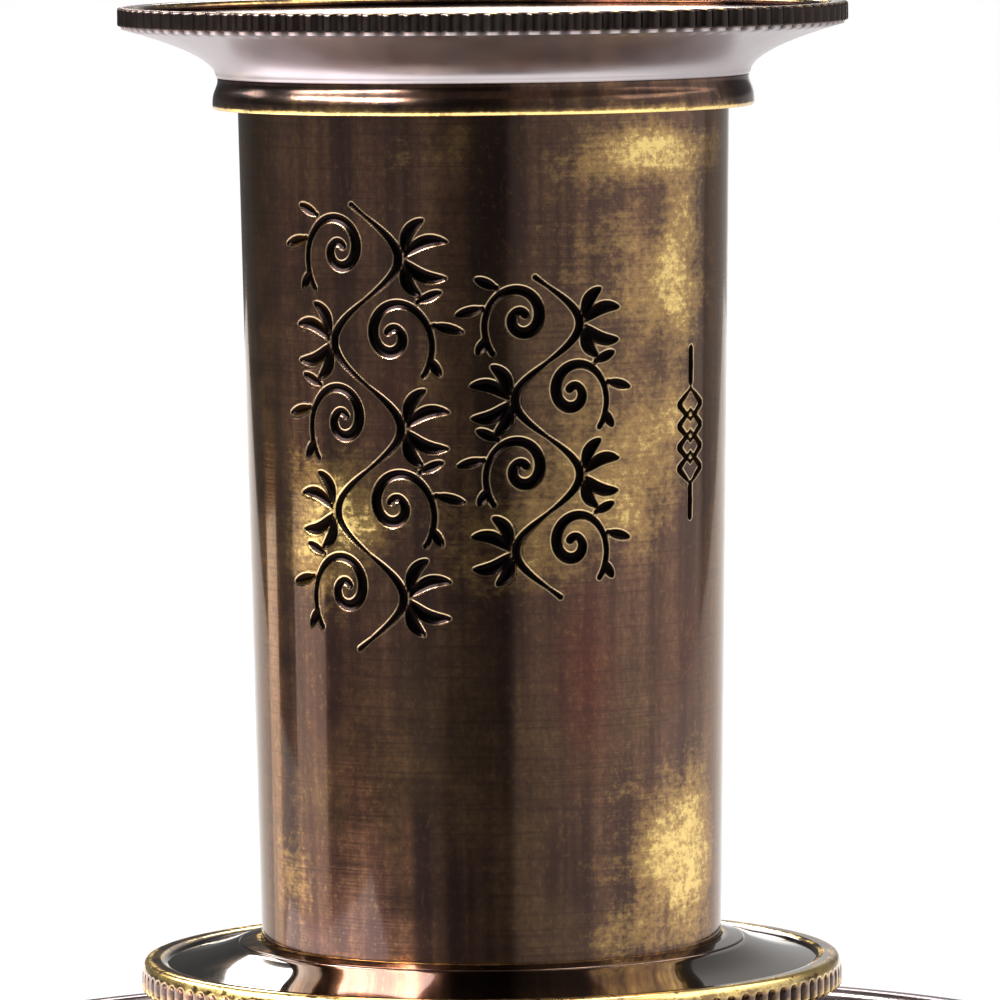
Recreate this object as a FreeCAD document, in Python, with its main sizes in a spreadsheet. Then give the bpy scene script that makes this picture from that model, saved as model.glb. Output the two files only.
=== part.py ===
import FreeCAD, Part
import math
import os

import Sketcher

# A brass kaleidoscope standing on its object case. Millimetres, +Z up.
# The origin is the centre of the case's foot, on the surface that the object stands on.
# Every turned piece is a profile of (radius, height) corners revolved about Z.

drivingSizes = {
    "total_height": 104.0,
    "running_gap": 0.05,
    # eyepiece
    "rim_radius": 30.3,
    "rim_height": 1.6,
    "rim_teeth": 112,
    "neck_radius": 22.55,
    "waist_radius": 22.1,
    "sight_radius": 5.5,
    "eye_bore": 15.0,
    "eye_glass_thickness": 1.5,
    # tube
    "tube_top_radius": 20.4,
    "tube_foot_radius": 19.2,
    "tube_wall": 1.2,
    "tube_top": 98.0,
    # mirrors
    "mirror_width": 27.6,
    "mirror_thickness": 2.0,
    "mirror_length": 70.0,
    "sleeve_thickness": 0.4,
    # hub and collar
    "hub_base": 13.5,
    "hub_radius": 22.0,
    "hub_flange_radius": 27.0,
    "screw_radius": 0.8,
    "collar_base": 22.1,
    "collar_radius": 29.25,
    "collar_teeth": 112,
    "tooth_radius": 0.55,
    # object case
    "case_radius": 54.2,
    "case_height": 15.65,
    "case_bore": 51.6,
    "case_teeth": 208,
    "band_height": 12.9,
    "frosted_base": 2.2,
    "glass_thickness": 2.0,
    "cell_depth": 4.0,
    "chip_spacing": 6.6,
}


class Size(float):
    # A number that remembers the spreadsheet formula it came from.
    def __new__(cls, value, formula):
        size = super().__new__(cls, value)
        size.formula = formula
        return size

    def joined(self, value, other, sign):
        return Size(value, f"({self.formula} {sign} {formulaOf(other)})")

    def __add__(self, other):
        return self.joined(float(self) + float(other), other, "+")

    def __sub__(self, other):
        return self.joined(float(self) - float(other), other, "-")

    def __mul__(self, other):
        return self.joined(float(self) * float(other), other, "*")

    def __truediv__(self, other):
        return self.joined(float(self) / float(other), other, "/")


def formulaOf(number):
    return number.formula if isinstance(number, Size) else f"{number:.6f}"


doc = FreeCAD.newDocument("Kaleidoscope")
sheet = doc.addObject("Spreadsheet::Sheet", "Sizes")
for row, (alias, number) in enumerate(drivingSizes.items(), start=1):
    sheet.set(f"A{row}", alias.replace("_", " "))
    sheet.set(f"B{row}", str(number))
    sheet.setAlias(f"B{row}", alias)
doc.recompute()

size = {alias: Size(number, f"Sizes.{alias}") for alias, number in drivingSizes.items()}
gap = size["running_gap"]
top = size["total_height"]
subParts = []


def bind(item, prop, number):
    # Sets a property and ties it to the sheet when the number came from there.
    if isinstance(number, Size):
        item.setExpression(prop, number.formula)
    else:
        setattr(item, prop, number)


def keep(item, label, baseHeight=None):
    # Names a sub-part, stands it at its height and puts it on the list to be written.
    item.Label = label
    if baseHeight is not None:
        item.setExpression(".Placement.Base.z", formulaOf(baseHeight))
    subParts.append(item)
    return item


def originPlane(body, role):
    return next(feature for feature in body.Origin.OriginFeatures if feature.Role == role)


def newBody(label, baseHeight):
    return keep(doc.addObject("PartDesign::Body", label), label, baseHeight)


def newSketch(body, name, role, offset=None):
    sketch = body.newObject("Sketcher::SketchObject", name)
    sketch.AttachmentSupport = (originPlane(body, role), "")
    sketch.MapMode = "FlatFace"
    if offset is not None:
        sketch.setExpression(".AttachmentOffset.Base.z", formulaOf(offset))
    return sketch


def arcBetween(start, end, radius):
    # Arc from start to end; a positive radius curves to the left of the way, a negative one to the right.
    middle = (start + end) * 0.5
    way = end - start
    left = FreeCAD.Vector(-way.y, way.x, 0).normalize()
    reach = math.sqrt(radius ** 2 - (way.Length / 2) ** 2)
    centre = middle + left * math.copysign(reach, radius)
    first, last = (start, end) if radius > 0 else (end, start)
    firstAngle = math.atan2(first.y - centre.y, first.x - centre.x)
    lastAngle = math.atan2(last.y - centre.y, last.x - centre.x)
    return Part.ArcOfCircle(Part.Circle(centre, FreeCAD.Vector(0, 0, 1), abs(radius)), firstAngle, lastAngle)


def pinAlong(sketch, kind, edge, end, number):
    # Holds one end of an edge at its distance from the sketch's origin.
    if float(number) == 0.0:
        sketch.addConstraint(Sketcher.Constraint("PointOnObject", edge, end, -2 if kind == "DistanceX" else -1))
        return
    index = sketch.addConstraint(Sketcher.Constraint(kind, -1, 1, edge, end, float(number)))
    if isinstance(number, Size):
        sketch.setExpression(f"Constraints[{index}]", number.formula)


def drawOutline(sketch, corners):
    # Closed outline. A corner is (across, up), or (across, up, radius) where an arc leads to the next one.
    points = [FreeCAD.Vector(float(corner[0]), float(corner[1]), 0) for corner in corners]
    firstEdge = sketch.GeometryCount
    count = len(corners)
    startEnds = []
    for number, corner in enumerate(corners):
        start, end = points[number], points[(number + 1) % count]
        radius = corner[2] if len(corner) > 2 else None
        edge = arcBetween(start, end, radius) if radius else Part.LineSegment(start, end)
        sketch.addGeometry(edge, False)
        startEnds.append(2 if radius and radius < 0 else 1)
    for number, corner in enumerate(corners):
        following = (number + 1) % count
        edge, startEnd = firstEdge + number, startEnds[number]
        sketch.addConstraint(
            Sketcher.Constraint("Coincident", edge, 3 - startEnd, firstEdge + following, startEnds[following]))
        pinAlong(sketch, "DistanceX", edge, startEnd, corner[0])
        pinAlong(sketch, "DistanceY", edge, startEnd, corner[1])
        if len(corner) > 2:
            sketch.addConstraint(Sketcher.Constraint("Radius", edge, abs(corner[2])))


def turned(label, baseHeight, corners):
    # A piece made on the lathe: its half section, with heights from its own base.
    body = newBody(label, baseHeight)
    sketch = newSketch(body, f"{label}_section", "XZ_Plane")
    drawOutline(sketch, corners)
    lathe = body.newObject("PartDesign::Revolution", f"{label}_turning")
    lathe.Profile = sketch
    lathe.ReferenceAxis = (sketch, ["V_Axis"])
    lathe.Angle = 360
    doc.recompute()
    return body


def pocket(body, sketch, name, depth):
    # Cuts the sketch downwards and makes sure that something was really cut.
    before = body.Shape.Volume
    cut = body.newObject("PartDesign::Pocket", name)
    cut.Profile = sketch
    bind(cut, "Length", depth)
    doc.recompute()
    if not body.Shape.Volume < before:
        raise RuntimeError(f"{name} cuts nothing")
    return cut


def around(body, feature, name, count):
    # Repeats a feature evenly round Z.
    ring = body.newObject("PartDesign::PolarPattern", name)
    ring.Originals = [feature]
    ring.Axis = (originPlane(body, "Z_Axis"), [""])
    ring.Angle = 360
    bind(ring, "Occurrences", count)
    body.Tip = ring
    doc.recompute()


def milledEdge(body, label, radius, upperHeight, depth, count):
    # Coin edge: half-round flutes cut down the rim.
    sketch = newSketch(body, f"{label}_flute_end", "XY_Plane", upperHeight)
    cutter = size["tooth_radius"]
    centre = radius + cutter * 0.25
    sketch.addGeometry(Part.Circle(FreeCAD.Vector(centre, 0, 0), FreeCAD.Vector(0, 0, 1), float(cutter)), False)
    sketch.addConstraint(Sketcher.Constraint("PointOnObject", 0, 3, -1))
    pinAlong(sketch, "DistanceX", 0, 3, centre)
    index = sketch.addConstraint(Sketcher.Constraint("Radius", 0, float(cutter)))
    sketch.setExpression(f"Constraints[{index}]", cutter.formula)
    doc.recompute()
    around(body, pocket(body, sketch, f"{label}_flute", depth), f"{label}_milling", count)


def slots(body, label, innerRadius, width, upperHeight, depth, count):
    # Spanner slots cut radially across a ring.
    sketch = newSketch(body, f"{label}_slot_plan", "XY_Plane", upperHeight)
    outer = innerRadius + 2.0
    drawOutline(sketch, [
        (innerRadius - 0.5, -width / 2), (outer, -width / 2), (outer, width / 2), (innerRadius - 0.5, width / 2)])
    doc.recompute()
    around(body, pocket(body, sketch, f"{label}_slot", depth), f"{label}_slots", count)


def disc(name, radius, thickness):
    cylinder = doc.addObject("Part::Cylinder", name)
    bind(cylinder, "Radius", radius)
    bind(cylinder, "Height", thickness)
    return cylinder


def flatRing(label, innerRadius, outerRadius, baseHeight, thickness):
    # A washer: one cylinder less a smaller one.
    ring = doc.addObject("Part::Cut", label)
    ring.Base = disc(f"{label}_blank", outerRadius, thickness)
    ring.Tool = disc(f"{label}_hole", innerRadius, thickness)
    doc.recompute()
    return keep(ring, label, baseHeight)


# Eyepiece: a trumpet with a milled rim, a waist and a bead; a threaded spigot goes down inside the tube.

spigotLength = 6.5
skirtDrop = 3.0
spigotBase = size["tube_top"] + 0.5 - spigotLength
rim, neck, waist = size["rim_radius"], size["neck_radius"], size["waist_radius"]
tubeRadius, tubeWall = size["tube_top_radius"], size["tube_wall"]
rimTop = top - spigotBase
rimFoot = rimTop - size["rim_height"]
bowlFloor = rimTop - 3.2
chamberTop = bowlFloor - 1.2
eyepieceSection = [
    (size["eye_bore"], 0.0),
    (tubeRadius - tubeWall - gap, 0.0),
    (tubeRadius - tubeWall - gap, spigotLength),
    (tubeRadius + gap, spigotLength),
    (tubeRadius + gap, spigotLength - skirtDrop),
    (neck - 0.3, spigotLength - skirtDrop),
    (neck, spigotLength - skirtDrop + 0.6),
    (neck, spigotLength - skirtDrop + 1.3, 1.6),
    (waist, spigotLength - 0.35, -4.2),
    (waist + 2.5, rimFoot - 1.9, -12.0),
    (rim - 0.35, rimFoot - 0.25),
    (rim, rimFoot),
    (rim, rimTop - 0.25),
    (rim - 0.25, rimTop),
    (rim - 1.5, rimTop),
    (rim - 1.9, rimTop - 0.4, -45.0),
    (13.0, bowlFloor),
    (size["sight_radius"], bowlFloor),
    (size["sight_radius"], chamberTop),
    (size["eye_bore"], chamberTop),
]
flange = turned("eyepiece_flange", spigotBase, eyepieceSection)
milledEdge(flange, "rim", rim, rimTop, size["rim_height"], size["rim_teeth"])

stopThickness = 0.5
glassThickness = size["eye_glass_thickness"]
stopBase = spigotBase + chamberTop - stopThickness
flatRing("eye_stop", 4.5, size["eye_bore"] - gap, stopBase, stopThickness)
keep(disc("eye_glass", size["eye_bore"] - 0.1, glassThickness), "eye_glass", stopBase - glassThickness)

eyeRingHeight = 1.8
eyeRing = turned("eye_glass_ring", stopBase - glassThickness - eyeRingHeight, [
    (12.2, 0.0), (size["eye_bore"], 0.0), (size["eye_bore"], eyeRingHeight), (12.2, eyeRingHeight)])
slotPlan = newSketch(eyeRing, "eye_ring_slot_plan", "XY_Plane", 1.0)
drawOutline(slotPlan, [(-16.0, -0.6), (16.0, -0.6), (16.0, 0.6), (-16.0, 0.6)])
doc.recompute()
pocket(eyeRing, slotPlan, "eye_ring_slots", 1.0)

flatRing("eyepiece_washer", tubeRadius - tubeWall + 0.15, tubeRadius - 0.05, size["tube_top"] + 0.03, 0.44)

# Tube: straight at both ends, tapered between the collar and the eyepiece, with holes for the hub's screws.

hubBase = size["hub_base"]
tubeBase = hubBase + 0.5
foot = size["tube_foot_radius"]
taperStart = 26.0 - tubeBase
taperEnd = spigotBase - 0.5 - tubeBase
tubeLength = size["tube_top"] - tubeBase
screwLevel = hubBase + 5.0
tube = turned("body_tube", tubeBase, [
    (foot - tubeWall, 0.0),
    (foot, 0.0),
    (foot, taperStart),
    (tubeRadius, taperEnd + 4.0),
    (tubeRadius, tubeLength),
    (tubeRadius - tubeWall, tubeLength),
    (tubeRadius - tubeWall, taperEnd),
    (foot - tubeWall, taperStart),
])


def screwHoles(body, label, height):
    # Three radial holes: one drilled along +X, then repeated round Z.
    sketch = newSketch(body, f"{label}_hole", "YZ_Plane")
    radius = size["screw_radius"]
    sketch.addGeometry(Part.Circle(FreeCAD.Vector(0, float(height), 0), FreeCAD.Vector(0, 0, 1), float(radius)), False)
    sketch.addConstraint(Sketcher.Constraint("PointOnObject", 0, 3, -2))
    pinAlong(sketch, "DistanceY", 0, 3, height)
    index = sketch.addConstraint(Sketcher.Constraint("Radius", 0, float(radius)))
    sketch.setExpression(f"Constraints[{index}]", radius.formula)
    doc.recompute()
    before = body.Shape.Volume
    drill = body.newObject("PartDesign::Pocket", f"{label}_drill")
    drill.Profile = sketch
    drill.Length = 40
    drill.Reversed = True
    doc.recompute()
    if not body.Shape.Volume < before:
        raise RuntimeError(f"{label} drill cuts nothing")
    around(body, drill, f"{label}_drills", 3)


screwHoles(tube, "tube", screwLevel - tubeBase)

# Mirrors: three strips whose front faces make an equilateral tunnel.

cradleHeight = 4.0
recess = 1.5
bundleBase = tubeBase + cradleHeight - recess
width, thickness = size["mirror_width"], size["mirror_thickness"]
tunnelInradius = width / (2 * math.sqrt(3))
for number, name in enumerate(("mirror_one", "mirror_two", "mirror_three")):
    strip = doc.addObject("Part::Box", name)
    bind(strip, "Length", width - 0.04)
    bind(strip, "Width", thickness)
    bind(strip, "Height", size["mirror_length"])
    turn = 120.0 * number
    strip.Placement = FreeCAD.Placement(
        FreeCAD.Vector(0, 0, float(bundleBase)), FreeCAD.Rotation(FreeCAD.Vector(0, 0, 1), turn)
    ) * FreeCAD.Placement(FreeCAD.Vector(-float(width) / 2 + 0.02, float(tunnelInradius), 0), FreeCAD.Rotation())
    keep(strip, name)


def bundleOutline(clearance):
    # Six corners round the backs of the three mirrors, a clearance outside the glass.
    back = tunnelInradius + thickness + clearance
    half = width / 2 + clearance * math.tan(math.radians(30))
    corners = []
    for number in range(3):
        angle = math.radians(90 + 120 * number)
        for side in (-1, 1):
            corners.append((
                back * math.cos(angle) - half * (side * math.sin(angle)),
                back * math.sin(angle) + half * (side * math.cos(angle))))
    return corners


def triangle(side):
    # Equilateral opening in line with the mirrors.
    reach = side / math.sqrt(3)
    angles = [math.radians(30 + 120 * number) for number in range(3)]
    return [(reach * math.cos(angle), reach * math.sin(angle)) for angle in angles]


def padded(body, label, outlines, height):
    # Pads one or two closed outlines, the second one a hole in the first.
    sketch = newSketch(body, f"{label}_plan", "XY_Plane")
    for corners in outlines:
        drawOutline(sketch, corners)
    pad = body.newObject("PartDesign::Pad", f"{label}_pad")
    pad.Profile = sketch
    bind(pad, "Length", height)
    doc.recompute()


sleeve = newBody("mirror_sleeve", bundleBase + recess + 0.2)
padded(sleeve, "sleeve", [bundleOutline(0.1 + float(size["sleeve_thickness"])), bundleOutline(0.1)],
       size["mirror_length"] - (recess + 0.2) * 2)


def cradle(label, baseHeight, radius, recessOnTop):
    # A disc with a triangular sight opening and a recess for the ends of the mirrors.
    body = turned(label, baseHeight, [(0.0, 0.0), (radius, 0.0), (radius, cradleHeight), (0.0, cradleHeight)])
    window = newSketch(body, f"{label}_window", "XY_Plane", cradleHeight)
    drawOutline(window, triangle(24.0))
    doc.recompute()
    pocket(body, window, f"{label}_opening", cradleHeight)
    seat = newSketch(body, f"{label}_seat", "XY_Plane", cradleHeight if recessOnTop else recess)
    drawOutline(seat, bundleOutline(0.05))
    doc.recompute()
    pocket(body, seat, f"{label}_recess", recess)


cradle("lower_mirror_cradle", tubeBase, foot - tubeWall - 0.05, True)
upperCradleBase = bundleBase + size["mirror_length"] - recess
cradle("upper_mirror_cradle", upperCradleBase, tubeRadius - tubeWall - 0.2, False)

cushionFront = tunnelInradius + thickness + size["sleeve_thickness"] + 0.2
cushionDepth, cushionWidth, cushionHeight = 6.3, 10.0, 50.0
cushions = []
for number in range(3):
    cushion = doc.addObject("Part::Box", f"cushion_{number + 1}")
    cushion.Length, cushion.Width, cushion.Height = cushionWidth, cushionDepth, cushionHeight
    cushion.Placement = FreeCAD.Placement(
        FreeCAD.Vector(0, 0, float(bundleBase) + 10), FreeCAD.Rotation(FreeCAD.Vector(0, 0, 1), 120 * number)
    ) * FreeCAD.Placement(FreeCAD.Vector(-cushionWidth / 2, float(cushionFront), 0), FreeCAD.Rotation())
    cushions.append(cushion)
cushionSet = doc.addObject("Part::Compound", "mirror_cushions")
cushionSet.Links = cushions
keep(cushionSet, "mirror_cushions")

# Hub: the bearing sleeve on the foot of the tube. Its flange holds the case up against the collar.

hubRadius, hubFlange = size["hub_radius"], size["hub_flange_radius"]
flangeHeight, hubHeight = 2.0, 10.9
hub = turned("turning_hub", hubBase, [
    (foot - 2.7, 0.0),
    (hubFlange, 0.0),
    (hubFlange, flangeHeight),
    (hubRadius, flangeHeight),
    (hubRadius, hubHeight),
    (foot + gap, hubHeight),
    (foot + gap, 0.5),
    (foot - 2.7, 0.5),
])
screwHoles(hub, "hub", screwLevel - hubBase)

screws = []
for number in range(3):
    shank = disc(f"screw_shank_{number + 1}", size["screw_radius"], hubRadius - foot + tubeWall - 0.4)
    slot = doc.addObject("Part::Box", f"screw_slot_{number + 1}")
    slot.Length, slot.Width, slot.Height = 2.0, 0.4, 0.5
    bind(slot, ".Placement.Base.z", hubRadius - foot + tubeWall - 0.8)
    slot.setExpression(".Placement.Base.x", "-1")
    slot.setExpression(".Placement.Base.y", "-0.2")
    screw = doc.addObject("Part::Cut", f"screw_{number + 1}")
    screw.Base, screw.Tool = shank, slot
    outward = FreeCAD.Rotation(FreeCAD.Vector(0, 0, 1), 120 * number)
    screw.Placement = FreeCAD.Placement(
        outward.multVec(FreeCAD.Vector(float(foot - tubeWall) + 0.3, 0, 0)) + FreeCAD.Vector(0, 0, float(screwLevel)),
        outward * FreeCAD.Rotation(FreeCAD.Vector(0, 1, 0), 90))
    screws.append(screw)
screwSet = doc.addObject("Part::Compound", "hub_screws")
screwSet.Links = screws
keep(screwSet, "hub_screws")

neckFoot = hubBase + 2.5
flatRing("thrust_washer", hubRadius + 0.1, hubFlange - 0.2, hubBase + flangeHeight, 0.45)

# Collar: a ring nut on the hub, with a lip round the tube, a shallow dish, a bead and a milled edge.

collarBase, collarRadius = size["collar_base"], size["collar_radius"]
collar = turned("milled_collar", collarBase, [
    (hubRadius + gap, 0.0),
    (collarRadius - 0.35, 0.0),
    (collarRadius, 0.3),
    (collarRadius, 1.5, 1.15),
    (collarRadius - 1.0, 2.5, 1.3),
    (collarRadius - 1.95, 2.25, -60.0),
    (foot + 1.9, 4.0),
    (foot + 0.6, 4.22),
    (foot + gap, 4.2),
    (foot + gap, 2.4),
    (hubRadius + gap, 2.4),
])
milledEdge(collar, "collar", collarRadius, 1.5, 1.5, size["collar_teeth"])
neckTop = collarBase - 0.5
flatRing("collar_felt_washer", hubRadius + 0.15, hubRadius + 3.0, neckTop + 0.05, 0.45)

# Object case: a cover that turns on the hub, a milled band, and the cell of coloured glass below.

caseRadius, caseHeight, caseBore = size["case_radius"], size["case_height"], size["case_bore"]
bandHeight = size["band_height"]
spigotDrop = 1.2
coverBase = bandHeight - spigotDrop
coverTop = caseHeight - coverBase
neckLength = neckTop - coverBase
turned("case_cover", coverBase, [
    (caseBore - 1.4, 0.0),
    (caseBore - gap, 0.0),
    (caseBore - gap, spigotDrop),
    (caseRadius - 0.3, spigotDrop),
    (caseRadius, spigotDrop + 0.4),
    (caseRadius, coverTop - 0.95, 0.95),
    (caseRadius - 0.95, coverTop),
    (caseRadius - 1.8, coverTop, 0.9),
    (caseRadius - 2.7, coverTop - 0.75),
    (35.0, coverTop - 1.05, -10.0),
    (25.67, neckLength - 0.6),
    (25.2, neckLength),
    (hubRadius + gap, neckLength),
    (hubRadius + gap, neckFoot - coverBase),
    (hubFlange + 0.4, neckFoot - coverBase),
    (hubFlange + 0.4, coverTop - 2.45),
    (caseBore - 1.4, coverTop - 2.45),
])

glassBase = size["frosted_base"]
glass = size["glass_thickness"]
cellBase = glassBase + glass
innerGlassBase = cellBase + size["cell_depth"]
ledge = innerGlassBase + glass
band = turned("case_band", 0.0, [
    (caseBore, 0.0),
    (caseRadius - 0.5, 0.0, 0.5),
    (caseRadius, 0.5),
    (caseRadius, 2.2),
    (caseRadius - 0.6, 2.6),
    (caseRadius - 0.6, 6.9),
    (caseRadius, 7.3),
    (caseRadius, bandHeight - 0.4),
    (caseRadius - 0.4, bandHeight),
    (caseBore, bandHeight),
    (caseBore, ledge + 1.4),
    (caseBore - 3.0, ledge + 1.4),
    (caseBore - 3.0, ledge),
    (caseBore, ledge),
])
milledEdge(band, "band", caseRadius, bandHeight, bandHeight - 7.1, size["case_teeth"])

glassRadius = caseBore - 0.2
keep(disc("inner_glass", glassRadius, glass), "inner_glass", innerGlassBase)
flatRing("cell_spacer", caseBore - 1.6, glassRadius, cellBase, size["cell_depth"])
keep(disc("frosted_glass", glassRadius, glass), "frosted_glass", glassBase)
ringBase = 0.6
ringHeight = glassBase - ringBase
retainer = turned("glass_retaining_ring", ringBase, [
    (caseBore - 3.2, 0.0), (caseBore - gap, 0.0), (caseBore - gap, ringHeight), (caseBore - 3.2, ringHeight)])
slots(retainer, "retainer", caseBore - 3.2, 2.0, 0.9, 0.9, 4)

# Glass chips: small prisms spread over the frosted glass at the golden angle, in turn through six colours.

chipColours = ("ruby", "amber", "green", "blue", "violet", "clear")
chipCount = 48
goldenAngle = math.degrees(math.pi * (3 - math.sqrt(5)))
chipSets = {colour: [] for colour in chipColours}
for number in range(chipCount):
    colour = chipColours[number % len(chipColours)]
    chip = doc.addObject("Part::Prism", f"chip_{number + 1}")
    chip.Polygon = 3 + number * 5 % 4
    chip.Circumradius = 3.1 + 0.35 * (number * 7 % 5)
    chip.Height = 1.3 + 0.3 * (number * 3 % 4)
    reach = float(size["chip_spacing"]) * math.sqrt(number + 0.4)
    bearing = math.radians(number * goldenAngle)
    chip.Placement = FreeCAD.Placement(
        FreeCAD.Vector(reach * math.cos(bearing), reach * math.sin(bearing), float(cellBase) + 0.05),
        FreeCAD.Rotation(FreeCAD.Vector(0, 0, 1), number * 47 % 120))
    chipSets[colour].append(chip)
for colour, chips in chipSets.items():
    chipSet = doc.addObject("Part::Compound", f"chips_{colour}")
    chipSet.Links = chips
    keep(chipSet, f"chips_{colour}")

# Checks, then one STEP file for each sub-part.

doc.recompute()
for item in doc.Objects:
    if "Invalid" in item.State or "Error" in item.State:
        raise RuntimeError(f"{item.Label}: {item.State}")
for part in subParts:
    if part.Shape.isNull() or not part.Shape.isValid():
        raise RuntimeError(f"{part.Label} has no valid shape")
os.makedirs("parts", exist_ok=True)
for part in subParts:
    part.Shape.exportStep(f"parts/{part.Label}.step")
    box = part.Shape.BoundBox
    print(f"{part.Label}: {len(part.Shape.Solids)} solids, z {box.ZMin:.2f} to {box.ZMax:.2f}, "
          f"across {box.XLength:.2f}, {part.Shape.Volume:.1f} mm3")
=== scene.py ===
import math

import bpy
import numpy as np
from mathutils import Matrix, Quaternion, Vector


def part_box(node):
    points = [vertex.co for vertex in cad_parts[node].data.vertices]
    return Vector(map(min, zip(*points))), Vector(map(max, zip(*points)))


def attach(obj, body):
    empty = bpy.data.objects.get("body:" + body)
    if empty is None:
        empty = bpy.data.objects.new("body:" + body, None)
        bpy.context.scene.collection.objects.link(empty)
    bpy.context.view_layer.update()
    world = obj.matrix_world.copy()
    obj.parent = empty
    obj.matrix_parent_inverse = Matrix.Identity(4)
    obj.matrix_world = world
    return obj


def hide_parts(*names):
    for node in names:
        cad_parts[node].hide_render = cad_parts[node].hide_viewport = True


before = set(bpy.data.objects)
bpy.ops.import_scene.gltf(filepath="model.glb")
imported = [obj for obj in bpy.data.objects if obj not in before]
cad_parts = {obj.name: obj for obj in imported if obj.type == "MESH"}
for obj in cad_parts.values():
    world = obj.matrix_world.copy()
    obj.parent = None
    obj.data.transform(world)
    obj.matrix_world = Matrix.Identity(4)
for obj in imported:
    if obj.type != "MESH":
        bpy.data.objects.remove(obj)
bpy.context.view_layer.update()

mm = 0.001
scene = bpy.context.scene


def extent(node):  # outer radius, lowest and highest point of a turned node, in mm
    low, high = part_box(node)
    return max(high.x, high.y) / mm, low.z / mm, high.z / mm


rimRadius, spigotBase, objectTop = extent("eyepiece_flange")
tubeRadius, tubeBase, tubeTop = extent("body_tube")
collarRadius, collarBase = extent("milled_collar")[:2]
hubFlange, hubBase = extent("turning_hub")[:2]
caseRadius, _, neckTop = extent("case_cover")
bandTop = extent("case_band")[2]
glassRadius, frostedBase, frostedTop = extent("frosted_glass")
innerRadius, innerBase, innerTop = extent("inner_glass")
eyeGlassRadius, eyeGlassBase, eyeGlassTop = extent("eye_glass")
retainerRadius, retainerBase, retainerTop = extent("glass_retaining_ring")
caseTop = 15.65  # top of the case's rim, in mm
footRadius = 19.2  # tube's radius at its foot, in mm
hubRadius = 22.0  # radius of the hub's sleeve, in mm
runningGap = 0.05  # between a turned piece and the one inside it, in mm
caseBore = glassRadius + 0.2
print("sizes read")


def roundedPath(corners, steps=5):
    # (radius, height, rounding) corners joined into a path; each rounding is a quadratic curve with a
    # support point just before and after it, so that the flats stay flat
    corner = np.array(corners, float)
    path = []
    for i in range(len(corner)):
        here, rounding = corner[i, :2], corner[i, 2]
        before, after = corner[i - 1, :2] - here, corner[(i + 1) % len(corner), :2] - here
        if rounding <= 0:
            path.append(here[None])
            continue
        reachBefore = min(rounding, 0.42 * np.linalg.norm(before))
        reachAfter = min(rounding, 0.42 * np.linalg.norm(after))
        start = here + before / np.linalg.norm(before) * reachBefore
        end = here + after / np.linalg.norm(after) * reachAfter
        t = np.linspace(0, 1, steps)[:, None]
        curve = (1 - t) ** 2 * start + 2 * t * (1 - t) * here + t ** 2 * end
        path.append(np.vstack([start - (here - start) * 0.12, curve, end + (end - here) * 0.12]))
    return np.vstack(path)


def curvatureWear(path, spread=0.35, gain=0.55):
    # outward bend of the section, blurred along its length: 1 on crests that hands rub bright
    ahead = np.roll(path, -1, 0) - path
    behind = path - np.roll(path, 1, 0)
    length = np.linalg.norm(ahead, axis=1) + 1e-9
    turn = behind[:, 0] * ahead[:, 1] - behind[:, 1] * ahead[:, 0]
    angle = np.arctan2(turn, (behind * ahead).sum(1))
    along = np.concatenate([[0], np.cumsum(length)[:-1]])
    total = length.sum()
    gapAlong = np.abs(along[:, None] - along[None])
    gapAlong = np.minimum(gapAlong, total - gapAlong)
    weight = np.exp(-(gapAlong / spread) ** 2)
    density = (weight * angle[None]).sum(1) / (spread * math.sqrt(math.pi))
    return np.clip(density * gain, 0, 1)


def gridFaces(rows, columns, closeRows):
    # quads of a grid whose columns always close into a ring
    i = np.arange(rows if closeRows else rows - 1)[:, None]
    j = np.arange(columns)[None]
    down, right = (i + 1) % rows, (j + 1) % columns
    quad = np.stack([i * columns + j, i * columns + right, down * columns + right, down * columns + j], -1)
    return quad.reshape(-1, 4)


def addObject(name, data):
    made = bpy.data.objects.new(name, data)
    scene.collection.objects.link(made)
    return made


def addMesh(name, corners, faces):  # corners in metres
    mesh = bpy.data.meshes.new(name)
    mesh.from_pydata(corners, [], faces)
    return addObject(name, mesh)


def makeMesh(name, points, quads, attributes=None, fans=()):
    # points in mm; fans close poles as (centre, ring) pairs; creases sharper than 50 degrees stay sharp
    allFaces = quads.tolist()
    for centre, ring in fans:
        allFaces += [[centre, int(a), int(b)] for a, b in zip(ring, np.roll(ring, -1))]
    piece = addMesh(name, (points * mm).tolist(), allFaces)
    mesh = piece.data
    for key, values in (attributes or {}).items():
        mesh.attributes.new(key, "FLOAT", "POINT").data.foreach_set("value", values.astype(np.float32))
    mesh.polygons.foreach_set("use_smooth", [True] * len(mesh.polygons))
    mesh.validate()
    mesh.set_sharp_from_angle(angle=math.radians(50))
    return piece


def fluteAngles(teeth, ridgeShare):
    # angles of one turn, packed close at the edges of each flute, and how deep the flute is at each one
    half = (1 - ridgeShare) / 2
    edge = 0.025
    across = np.array([-1, -0.62, 0, 0.62, 1]) * (half - edge)
    ridge = np.array([-0.5, 0.5]) * ridgeShare / 2 + 0.5
    step = np.concatenate([across, ridge])
    deep = np.concatenate([np.sqrt(np.clip(1 - (across / half) ** 2, 0, 1)), np.zeros(2)])
    deep[[0, 4]] *= 0.55
    angles = ((np.arange(teeth)[:, None] + step[None]) / teeth * 2 * math.pi).ravel()
    return angles, np.tile(deep, teeth)


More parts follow.
